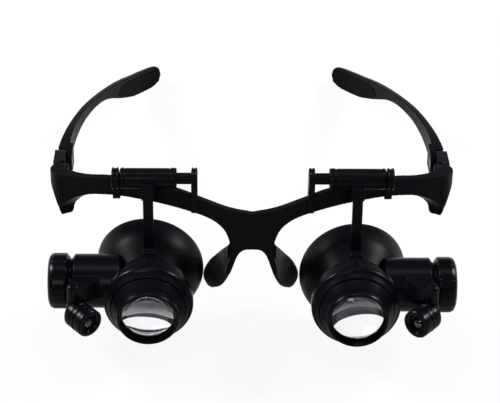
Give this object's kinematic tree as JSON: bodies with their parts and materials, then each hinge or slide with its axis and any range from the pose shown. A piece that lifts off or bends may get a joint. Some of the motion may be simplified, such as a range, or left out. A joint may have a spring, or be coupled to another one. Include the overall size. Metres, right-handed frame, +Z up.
{
  "type": "binocular head magnifier",
  "caption": "Binocular head magnifier: flip-up loupes with lamps and battery housings, clipped to a half-rim spectacle frame with folding temples.",
  "frame": {"origin": "centre of the part's footprint on the table it rests on", "axes": "+Z up from the table, -Y towards the loupes' front lenses, +X to the side drawn as right"},
  "size_m": [0.1528, 0.1882, 0.0699],
  "materials": {
    "frame_plastic": "satin black",
    "clip_plastic": "satin black",
    "cup_plastic": "semi-gloss black",
    "housing_plastic": "fine matt black",
    "soft_rubber": "soft matt black",
    "inner_black": "flat black",
    "steel": "turned",
    "cell_metal": "drawn",
    "contact_brass": "stamped",
    "lens_glass": "polished",
    "diode_resin": "clear resin"
  },
  "bodies": {
    "frame": {"front_frame": "frame_plastic", "left_fold_pin": "steel", "left_outer_clip": "clip_plastic", "left_inner_clip": "clip_plastic", "right_fold_pin": "steel", "right_outer_clip": "clip_plastic", "right_inner_clip": "clip_plastic"},
    "left_hinge": {"left_hinge_block": "frame_plastic"},
    "left_temple": {"left_temple_arm": "frame_plastic", "left_temple_pad": "soft_rubber", "left_tilt_screw": "steel"},
    "left_axle": {"left_axle_rod": "clip_plastic"},
    "left_carriage": {"left_sleeve": "clip_plastic", "left_stem": "clip_plastic", "left_eyecup": "cup_plastic", "left_collar": "housing_plastic", "left_button_cells": "cell_metal", "left_contact_spring": "steel", "left_contact_plate": "contact_brass"},
    "left_lens_unit": {"left_lens_tube": "housing_plastic", "left_retaining_ring": "housing_plastic", "left_front_lens": "lens_glass", "left_spacer_ring": "inner_black", "left_rear_lens": "lens_glass"},
    "left_cap": {"left_battery_cap": "housing_plastic"},
    "left_lamp": {"left_lamp_head": "housing_plastic", "left_lamp_bezel": "housing_plastic", "left_lamp_pin": "clip_plastic", "left_diode": "diode_resin"},
    "right_hinge": {"right_hinge_block": "frame_plastic"},
    "right_temple": {"right_temple_arm": "frame_plastic", "right_temple_pad": "soft_rubber", "right_tilt_screw": "steel"},
    "right_axle": {"right_axle_rod": "clip_plastic"},
    "right_carriage": {"right_sleeve": "clip_plastic", "right_stem": "clip_plastic", "right_eyecup": "cup_plastic", "right_collar": "housing_plastic", "right_button_cells": "cell_metal", "right_contact_spring": "steel", "right_contact_plate": "contact_brass"},
    "right_lens_unit": {"right_lens_tube": "housing_plastic", "right_retaining_ring": "housing_plastic", "right_front_lens": "lens_glass", "right_spacer_ring": "inner_black", "right_rear_lens": "lens_glass"},
    "right_cap": {"right_battery_cap": "housing_plastic"},
    "right_lamp": {"right_lamp_head": "housing_plastic", "right_lamp_bezel": "housing_plastic", "right_lamp_pin": "clip_plastic", "right_diode": "diode_resin"}
  },
  "joints": [
    {"name": "left_temple_fold", "type": "hinge", "parent": "frame", "child": "left_hinge", "pos_m": [-0.0714, -0.03302, 0.05183], "axis": [0, 0.2143, 0.9768], "range_deg": [-75, 0]},
    {"name": "left_temple_tilt", "type": "hinge", "parent": "left_hinge", "child": "left_temple", "pos_m": [-0.0712, -0.02335, 0.04971], "axis": [1, 0, 0], "range_deg": [-8, 8]},
    {"name": "left_loupe_flip", "type": "hinge", "parent": "frame", "child": "left_axle", "pos_m": [-0.036, -0.05214, 0.06595], "axis": [-1, 0, 0], "range_deg": [0, 104.5]},
    {"name": "left_pupil_slide", "type": "slide", "parent": "left_axle", "child": "left_carriage", "axis": [1, 0, 0], "range_m": [0, 0.0025]},
    {"name": "left_lens_pull", "type": "slide", "parent": "left_carriage", "child": "left_lens_unit", "axis": [0, -0.9906, 0.137], "range_m": [0, 0.008]},
    {"name": "left_cap_turn", "type": "hinge", "parent": "left_carriage", "child": "left_cap", "pos_m": [-0.07, -0.0661, 0.02705], "axis": [-1, 0, 0], "range_deg": [0, 90]},
    {"name": "left_lamp_turn", "type": "hinge", "parent": "left_carriage", "child": "left_lamp", "pos_m": [-0.0662, -0.07923, 0.03356], "axis": [0, -0.137, -0.9906], "range_deg": [-20, 20]},
    {"name": "right_temple_fold", "type": "hinge", "parent": "frame", "child": "right_hinge", "pos_m": [0.0714, -0.03302, 0.05183], "axis": [0, 0.2143, 0.9768], "range_deg": [0, 75]},
    {"name": "right_temple_tilt", "type": "hinge", "parent": "right_hinge", "child": "right_temple", "pos_m": [0.0712, -0.02335, 0.04971], "axis": [1, 0, 0], "range_deg": [-8, 8]},
    {"name": "right_loupe_flip", "type": "hinge", "parent": "frame", "child": "right_axle", "pos_m": [0.036, -0.05214, 0.06595], "axis": [-1, 0, 0], "range_deg": [-4.5, 100]},
    {"name": "right_pupil_slide", "type": "slide", "parent": "right_axle", "child": "right_carriage", "axis": [-1, 0, 0], "range_m": [0, 0.0025]},
    {"name": "right_lens_pull", "type": "slide", "parent": "right_carriage", "child": "right_lens_unit", "axis": [0, -0.9768, 0.2143], "range_m": [0, 0.008]},
    {"name": "right_cap_turn", "type": "hinge", "parent": "right_carriage", "child": "right_cap", "pos_m": [0.07, -0.06911, 0.02827], "axis": [1, 0, 0], "range_deg": [0, 90]},
    {"name": "right_lamp_turn", "type": "hinge", "parent": "right_carriage", "child": "right_lamp", "pos_m": [0.0662, -0.08169, 0.03579], "axis": [0, 0.2143, 0.9768], "range_deg": [-20, 20]}
  ]
}
